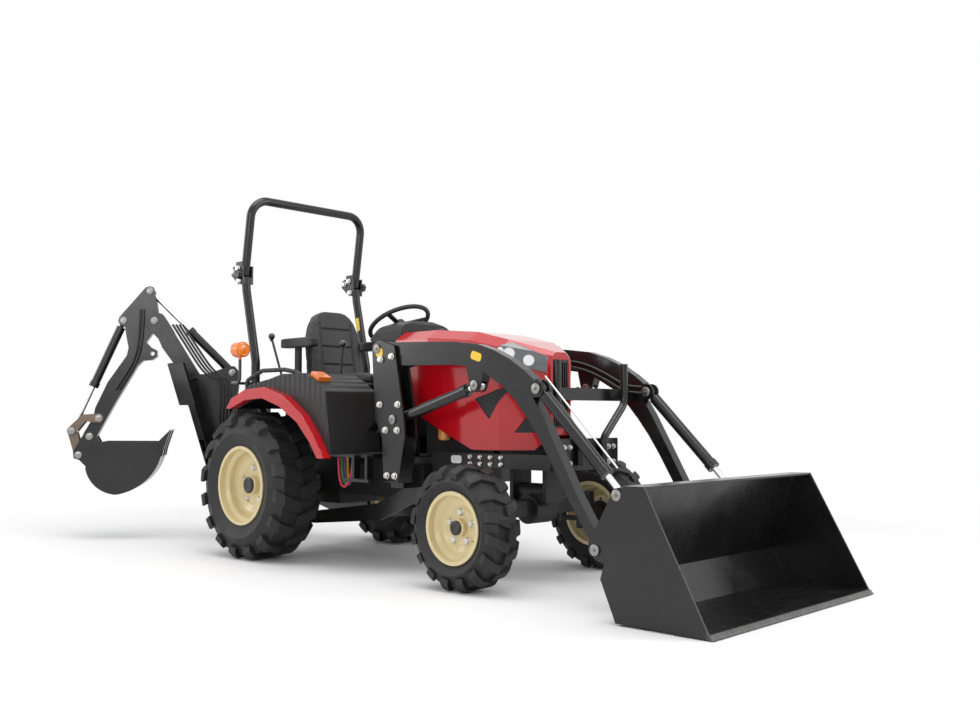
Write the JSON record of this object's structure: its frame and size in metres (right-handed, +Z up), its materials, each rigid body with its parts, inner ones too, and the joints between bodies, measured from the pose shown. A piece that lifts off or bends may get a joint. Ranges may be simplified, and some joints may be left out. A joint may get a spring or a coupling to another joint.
{
  "type": "backhoe loader",
  "caption": "Compact tractor with a wide front loader bucket, folding roll bar, flip-up hood, stabiliser legs and a swinging backhoe behind.",
  "frame": {"origin": "on the ground, below the middle of the rear axle", "axes": "+X forward, +Y to the machine's left, +Z up"},
  "size_m": [4.7838, 1.6057, 2.1469],
  "materials": {
    "red_paint": "gloss",
    "cast_black": "satin",
    "black_paint": "gloss",
    "rod_chrome": "gloss",
    "bronzed_steel": "satin",
    "rim_cream": "gloss",
    "tyre_rubber": "matte",
    "moulded_black": "matte",
    "seat_vinyl": "satin",
    "lamp_clear": "gloss",
    "lamp_amber": "gloss"
  },
  "bodies": {
    "machine": {"chassis": "cast_black", "engine": "cast_black", "front_axle": "cast_black", "front_guard": "black_paint", "deck": "black_paint", "fenders": "moulded_black", "fender_arches": "red_paint", "seat_base": "moulded_black", "seat_cushion": "seat_vinyl", "dash_console": "moulded_black", "rops_lower": "black_paint", "lamps": "lamp_amber", "control_levers": "moulded_black", "loader_masts": "black_paint", "hoe_frame": "black_paint", "subframe": "black_paint"},
    "hood": {"hood": "red_paint", "hood_grille": "moulded_black", "headlamps": "lamp_clear"},
    "rops_hoop": {"rops_upper": "black_paint"},
    "steering_wheel": {"steering_wheel": "moulded_black"},
    "tie_rod": {"tie_rod": "black_paint"},
    "loader_arms": {"loader_arms": "black_paint"},
    "loader_bucket": {"loader_bucket": "black_paint"},
    "lift_barrels": {"lift_barrels": "black_paint"},
    "lift_rods": {"lift_rods": "rod_chrome"},
    "tilt_barrels": {"tilt_barrels": "black_paint"},
    "tilt_rods": {"tilt_rods": "rod_chrome"},
    "swing_post": {"swing_post": "black_paint"},
    "knuckle_left": {"knuckle_left": "cast_black"},
    "wheel_rear_left": {"tyre_rear_left": "tyre_rubber", "rim_rear_left": "rim_cream"},
    "wheel_front_left": {"tyre_front_left": "tyre_rubber", "rim_front_left": "rim_cream"},
    "stabiliser_left": {"stabiliser_left": "black_paint"},
    "stab_barrel_left": {"stab_barrel_left": "black_paint"},
    "stab_rod_left": {"stab_rod_left": "rod_chrome"},
    "swing_barrel_left": {"swing_barrel_left": "black_paint"},
    "swing_rod_left": {"swing_rod_left": "rod_chrome"},
    "knuckle_right": {"knuckle_right": "cast_black"},
    "wheel_rear_right": {"tyre_rear_right": "tyre_rubber", "rim_rear_right": "rim_cream"},
    "wheel_front_right": {"tyre_front_right": "tyre_rubber", "rim_front_right": "rim_cream"},
    "stabiliser_right": {"stabiliser_right": "black_paint"},
    "stab_barrel_right": {"stab_barrel_right": "black_paint"},
    "stab_rod_right": {"stab_rod_right": "rod_chrome"},
    "swing_barrel_right": {"swing_barrel_right": "black_paint"},
    "swing_rod_right": {"swing_rod_right": "rod_chrome"},
    "hoe_boom": {"hoe_boom": "black_paint"},
    "hoe_dipper": {"hoe_dipper": "black_paint"},
    "hoe_bucket": {"hoe_bucket": "black_paint"},
    "hoe_rocker": {"hoe_rocker": "bronzed_steel"},
    "hoe_link": {"hoe_link": "bronzed_steel"},
    "hoe_boom_barrel": {"hoe_boom_barrel": "black_paint"},
    "hoe_boom_rod": {"hoe_boom_rod": "rod_chrome"},
    "hoe_dipper_barrel": {"hoe_dipper_barrel": "black_paint"},
    "hoe_dipper_rod": {"hoe_dipper_rod": "rod_chrome"},
    "hoe_bucket_barrel": {"hoe_bucket_barrel": "black_paint"},
    "hoe_bucket_rod": {"hoe_bucket_rod": "rod_chrome"}
  },
  "joints": [
    {"name": "wheel_rear_left", "type": "hinge", "parent": "machine", "child": "wheel_rear_left", "pos_m": [0, 0.5295, 0.415], "axis": [0, 1, 0], "continuous": true},
    {"name": "wheel_rear_right", "type": "hinge", "parent": "machine", "child": "wheel_rear_right", "pos_m": [0, -0.5295, 0.415], "axis": [0, 1, 0], "continuous": true},
    {"name": "steer_right", "type": "hinge", "parent": "machine", "child": "knuckle_right", "pos_m": [1.641, -0.39, 0.292], "axis": [0, 0, 1], "range_deg": [-40, 40]},
    {"name": "steer_left", "type": "hinge", "parent": "machine", "child": "knuckle_left", "pos_m": [1.641, 0.39, 0.292], "axis": [0, 0, 1], "range_deg": [-41, 41]},
    {"name": "wheel_front_left", "type": "hinge", "parent": "knuckle_left", "child": "wheel_front_left", "pos_m": [1.641, 0.5165, 0.292], "axis": [0, 1, 0], "continuous": true},
    {"name": "wheel_front_right", "type": "hinge", "parent": "knuckle_right", "child": "wheel_front_right", "pos_m": [1.641, -0.5165, 0.292], "axis": [0, 1, 0], "continuous": true},
    {"name": "tie_rod_turn", "type": "hinge", "parent": "knuckle_right", "child": "tie_rod", "pos_m": [1.511, -0.365, 0.304], "axis": [0, 0, 1], "range_deg": [-41, 41]},
    {"name": "steering_wheel_turn", "type": "hinge", "parent": "machine", "child": "steering_wheel", "pos_m": [0.6, 0, 1.338], "axis": [-0.5, 0, 0.866], "range_deg": [-485, 485]},
    {"name": "hood_open", "type": "hinge", "parent": "machine", "child": "hood", "pos_m": [0.85, 0, 1.248], "axis": [0, 1, 0], "range_deg": [-50, 0]},
    {"name": "rops_fold", "type": "hinge", "parent": "machine", "child": "rops_hoop", "pos_m": [-0.388, 0, 1.685], "axis": [0, -1, 0], "range_deg": [0, 165]},
    {"name": "loader_lift", "type": "hinge", "parent": "machine", "child": "loader_arms", "pos_m": [0.96, 0, 1.154], "axis": [0, -1, 0], "range_deg": [-4.5, 67]},
    {"name": "lift_barrel_turn", "type": "hinge", "parent": "machine", "child": "lift_barrels", "pos_m": [1.083, 0, 0.79], "axis": [0, -1, 0], "range_deg": [-4.13, 54.53]},
    {"name": "lift_rod_slide", "type": "slide", "parent": "lift_barrels", "child": "lift_rods", "axis": [0.9604, 0, 0.2786], "range_m": [-0.02708, 0.38937]},
    {"name": "loader_bucket_tilt", "type": "hinge", "parent": "loader_arms", "child": "loader_bucket", "pos_m": [2.365, 0, 0.245], "axis": [0, -1, 0], "range_deg": [-105, 18]},
    {"name": "tilt_barrel_turn", "type": "hinge", "parent": "loader_arms", "child": "tilt_barrels", "pos_m": [2.03, 0, 0.93], "axis": [0, -1, 0], "range_deg": [-13.66, 2.76]},
    {"name": "tilt_rod_slide", "type": "slide", "parent": "tilt_barrels", "child": "tilt_rods", "axis": [0.7071, 0, -0.7071], "range_m": [-0.06483, 0.37334]},
    {"name": "hoe_swing", "type": "hinge", "parent": "machine", "child": "swing_post", "pos_m": [-1.05, 0, 0], "axis": [0, 0, 1], "range_deg": [-145, 35]},
    {"name": "swing_barrel_turn_left", "type": "hinge", "parent": "machine", "child": "swing_barrel_left", "pos_m": [-0.62, 0.15, 0.344], "axis": [0, 0, 1], "range_deg": [-3.24, 11.87]},
    {"name": "swing_rod_slide_left", "type": "slide", "parent": "swing_barrel_left", "child": "swing_rod_left", "axis": [-0.9934, -0.1148, 0], "range_m": [-0.14488, 0.03573]},
    {"name": "swing_barrel_turn_right", "type": "hinge", "parent": "machine", "child": "swing_barrel_right", "pos_m": [-0.62, -0.15, 0.39], "axis": [0, 0, 1], "range_deg": [-4.66, 17.73]},
    {"name": "swing_rod_slide_right", "type": "slide", "parent": "swing_barrel_right", "child": "swing_rod_right", "axis": [-0.9177, 0.3972, 0], "range_m": [-0.01989, 0.07926]},
    {"name": "hoe_boom_lift", "type": "hinge", "parent": "swing_post", "child": "hoe_boom", "pos_m": [-1.11883, -0.0983, 0.52], "axis": [-0.8192, 0.5736, 0], "range_deg": [-105, 5]},
    {"name": "hoe_boom_barrel_turn", "type": "hinge", "parent": "swing_post", "child": "hoe_boom_barrel", "pos_m": [-1.1303, -0.11468, 0.402], "axis": [-0.8192, 0.5736, 0], "range_deg": [-99.24, 5.2]},
    {"name": "hoe_boom_rod_slide", "type": "slide", "parent": "hoe_boom_barrel", "child": "hoe_boom_rod", "axis": [-0.1717, -0.2453, 0.9541], "range_m": [-0.18586, 0.0098]},
    {"name": "hoe_dipper_reach", "type": "hinge", "parent": "hoe_boom", "child": "hoe_dipper", "pos_m": [-1.36489, -0.44971, 1.444], "axis": [-0.8192, 0.5736, 0], "range_deg": [-7, 105]},
    {"name": "hoe_dipper_barrel_turn", "type": "hinge", "parent": "hoe_boom", "child": "hoe_dipper_barrel", "pos_m": [-1.0718, -0.03113, 1.1], "axis": [-0.8192, 0.5736, 0], "range_deg": [-1, 7.93]},
    {"name": "hoe_dipper_rod_slide", "type": "slide", "parent": "hoe_dipper_barrel", "child": "hoe_dipper_rod", "axis": [-0.4052, -0.5787, 0.7078], "range_m": [-0.31846, 0.02216]},
    {"name": "hoe_bucket_curl", "type": "hinge", "parent": "hoe_dipper", "child": "hoe_bucket", "pos_m": [-1.59146, -0.77328, 0.673], "axis": [0.8192, -0.5736, 0], "range_deg": [-125, 6]},
    {"name": "hoe_rocker_turn", "type": "hinge", "parent": "hoe_dipper", "child": "hoe_rocker", "pos_m": [-1.55991, -0.72823, 0.793], "axis": [-0.8192, 0.5736, 0], "range_deg": [-4.76, 89.31]},
    {"name": "hoe_link_turn", "type": "hinge", "parent": "hoe_rocker", "child": "hoe_link", "pos_m": [-1.65627, -0.86584, 0.71], "axis": [-0.8192, 0.5736, 0], "range_deg": [-62.85, 3.49]},
    {"name": "hoe_bucket_barrel_turn", "type": "hinge", "parent": "hoe_dipper", "child": "hoe_bucket_barrel", "pos_m": [-1.47904, -0.61273, 1.443], "axis": [-0.8192, 0.5736, 0], "range_deg": [-0.61, 2.83]},
    {"name": "hoe_bucket_rod_slide", "type": "slide", "parent": "hoe_bucket_barrel", "child": "hoe_bucket_rod", "axis": [-0.2228, -0.3182, -0.9215], "range_m": [-0.26189, 0.01352]},
    {"name": "stabiliser_left_fold", "type": "hinge", "parent": "machine", "child": "stabiliser_left", "pos_m": [-0.905, 0.25, 0.43], "axis": [1, 0, 0], "range_deg": [-115, 3]},
    {"name": "stab_barrel_left_turn", "type": "hinge", "parent": "machine", "child": "stab_barrel_left", "pos_m": [-0.905, 0.095, 0.86], "axis": [1, 0, 0], "range_deg": [-5.6, 0.63]},
    {"name": "stab_rod_left_slide", "type": "slide", "parent": "stab_barrel_left", "child": "stab_rod_left", "axis": [0, 0.5589, -0.8293], "range_m": [-0.00772, 0.25865]},
    {"name": "stabiliser_right_fold", "type": "hinge", "parent": "machine", "child": "stabiliser_right", "pos_m": [-0.905, -0.25, 0.43], "axis": [-1, 0, 0], "range_deg": [-115, 3]},
    {"name": "stab_barrel_right_turn", "type": "hinge", "parent": "machine", "child": "stab_barrel_right", "pos_m": [-0.905, -0.095, 0.86], "axis": [-1, 0, 0], "range_deg": [-5.6, 0.63]},
    {"name": "stab_rod_right_slide", "type": "slide", "parent": "stab_barrel_right", "child": "stab_rod_right", "axis": [0, -0.5589, -0.8293], "range_m": [-0.00772, 0.25865]}
  ],
  "couplings": [
    {"joint": "steer_left", "follows": "steer_right", "ratio": 1},
    {"joint": "tie_rod_turn", "follows": "steer_right", "ratio": -1},
    {"joint": "steering_wheel_turn", "follows": "steer_right", "ratio": 12},
    {"joint": "lift_barrel_turn", "follows": "loader_lift", "ratio": 0.80645},
    {"joint": "lift_rod_slide", "follows": "loader_lift", "m_per_rad": 0.33212},
    {"joint": "tilt_barrel_turn", "follows": "loader_bucket_tilt", "ratio": 0.12529},
    {"joint": "tilt_rod_slide", "follows": "loader_bucket_tilt", "m_per_rad": -0.20318},
    {"joint": "swing_barrel_turn_left", "follows": "hoe_swing", "ratio": -0.0784},
    {"joint": "swing_rod_slide_left", "follows": "hoe_swing", "m_per_rad": 0.056855},
    {"joint": "swing_barrel_turn_right", "follows": "hoe_swing", "ratio": -0.1188},
    {"joint": "swing_rod_slide_right", "follows": "hoe_swing", "m_per_rad": -0.030923},
    {"joint": "hoe_boom_barrel_turn", "follows": "hoe_boom_lift", "ratio": 0.94038},
    {"joint": "hoe_boom_rod_slide", "follows": "hoe_boom_lift", "m_per_rad": 0.10087},
    {"joint": "hoe_dipper_barrel_turn", "follows": "hoe_dipper_reach", "ratio": 0.070791},
    {"joint": "hoe_dipper_rod_slide", "follows": "hoe_dipper_reach", "m_per_rad": -0.17323},
    {"joint": "hoe_rocker_turn", "follows": "hoe_bucket_curl", "ratio": -0.71045},
    {"joint": "hoe_link_turn", "follows": "hoe_bucket_curl", "ratio": 0.49881},
    {"joint": "hoe_bucket_barrel_turn", "follows": "hoe_bucket_curl", "ratio": -0.018611},
    {"joint": "hoe_bucket_rod_slide", "follows": "hoe_bucket_curl", "m_per_rad": 0.11958},
    {"joint": "stab_barrel_left_turn", "follows": "stabiliser_left_fold", "ratio": 0.044352},
    {"joint": "stab_rod_left_slide", "follows": "stabiliser_left_fold", "m_per_rad": -0.12837},
    {"joint": "stab_barrel_right_turn", "follows": "stabiliser_right_fold", "ratio": 0.044352},
    {"joint": "stab_rod_right_slide", "follows": "stabiliser_right_fold", "m_per_rad": -0.12837}
  ]
}
